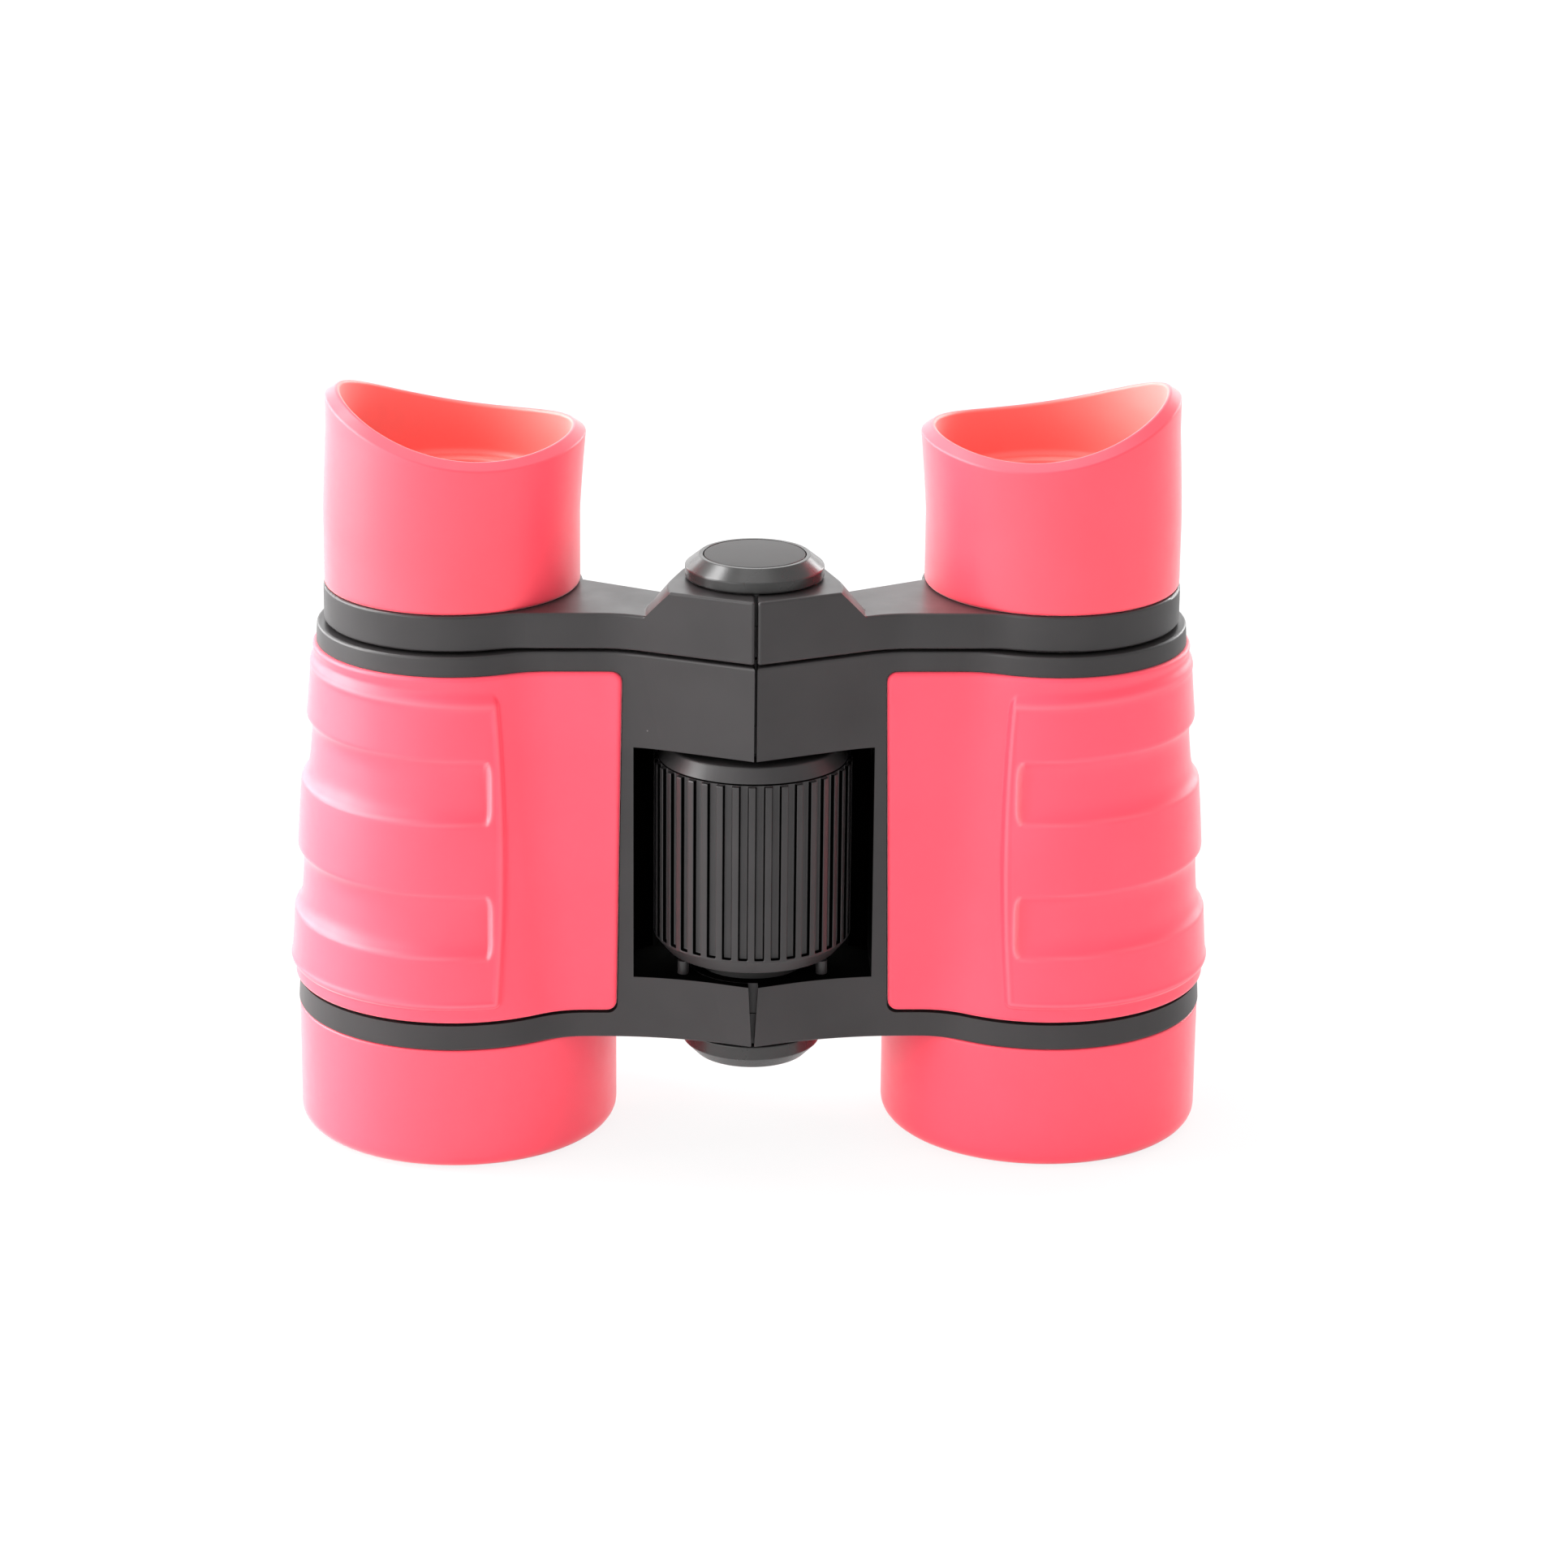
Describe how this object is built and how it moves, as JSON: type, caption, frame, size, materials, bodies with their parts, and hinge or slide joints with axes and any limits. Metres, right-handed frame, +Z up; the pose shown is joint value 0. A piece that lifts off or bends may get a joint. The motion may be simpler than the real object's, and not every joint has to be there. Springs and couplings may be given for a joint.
{
  "type": "toy binoculars",
  "caption": "Child's folding binoculars: soft-covered barrels on a front hinge, ribbed focus wheel lifting an eyepiece bridge, hooded lenses and winged eyecups.",
  "frame": {"origin": "middle of the width and of the depth, on the surface that the two hoods stand on", "axes": "+Z up along the barrels towards the eyecups, +X to the right of a viewer who faces the focus wheel, -Y towards that viewer"},
  "size_m": [0.1048, 0.039, 0.0868],
  "materials": {
    "grip_rubber": "satin moulded rubber, soft to the touch",
    "hood_rubber": "satin moulded rubber",
    "eyecup_rubber": "satin soft rubber",
    "body_plastic": "satin black moulded plastic",
    "wheel_plastic": "satin black moulded plastic, ribbed",
    "cap_plastic": "half-gloss black moulded plastic",
    "inner_plastic": "dull black moulded plastic",
    "lens_glass": "clear polished, uncoated",
    "steel": "plain zinc-plated",
    "brass": "turned"
  },
  "bodies": {
    "left_barrel": {"left_body": "body_plastic", "left_grip": "grip_rubber", "left_hood": "hood_rubber", "left_objective_lens": "lens_glass", "left_objective_ring": "inner_plastic", "lower_hinge_pin": "steel", "lower_hinge_cap": "cap_plastic", "upper_hinge_bush": "brass", "wheel_lower_washer": "inner_plastic", "wheel_upper_washer": "inner_plastic"},
    "right_barrel": {"right_body": "body_plastic", "right_grip": "grip_rubber", "right_hood": "hood_rubber", "right_objective_lens": "lens_glass", "right_objective_ring": "inner_plastic"},
    "wheel": {"focus_wheel": "wheel_plastic"},
    "left_eyepiece": {"left_bridge_arm": "body_plastic", "left_eyepiece_tube": "inner_plastic", "left_eye_lens": "lens_glass", "left_eye_lens_ring": "inner_plastic", "left_eyecup": "eyecup_rubber", "focus_screw": "brass", "bridge_washer": "steel", "bridge_bolt": "steel", "bridge_cap": "cap_plastic", "bridge_cap_disc": "cap_plastic"},
    "right_eyepiece": {"right_bridge_arm": "body_plastic", "right_eyepiece_tube": "inner_plastic", "right_eye_lens": "lens_glass", "right_eye_lens_ring": "inner_plastic", "right_eyecup": "eyecup_rubber"}
  },
  "joints": [
    {"name": "barrel_fold", "type": "hinge", "parent": "left_barrel", "child": "right_barrel", "pos_m": [0, -0.0084, 0.0371], "axis": [0, 0, 1], "range_deg": [0, 40]},
    {"name": "bridge_rise", "type": "slide", "parent": "left_barrel", "child": "left_eyepiece", "axis": [0, 0, 1], "range_m": [0, 0.005]},
    {"name": "bridge_fold", "type": "hinge", "parent": "left_eyepiece", "child": "right_eyepiece", "pos_m": [0, -0.0084, 0.062], "axis": [0, 0, 1], "range_deg": [0, 40]},
    {"name": "focus_turn", "type": "hinge", "parent": "left_barrel", "child": "wheel", "pos_m": [0, -0.0084, 0.036], "axis": [0, 0, -1], "range_deg": [0, 450]}
  ],
  "couplings": [
    {"joint": "focus_turn", "follows": "bridge_rise", "rad_per_m": 1570.8},
    {"joint": "bridge_fold", "follows": "barrel_fold", "ratio": 1}
  ]
}
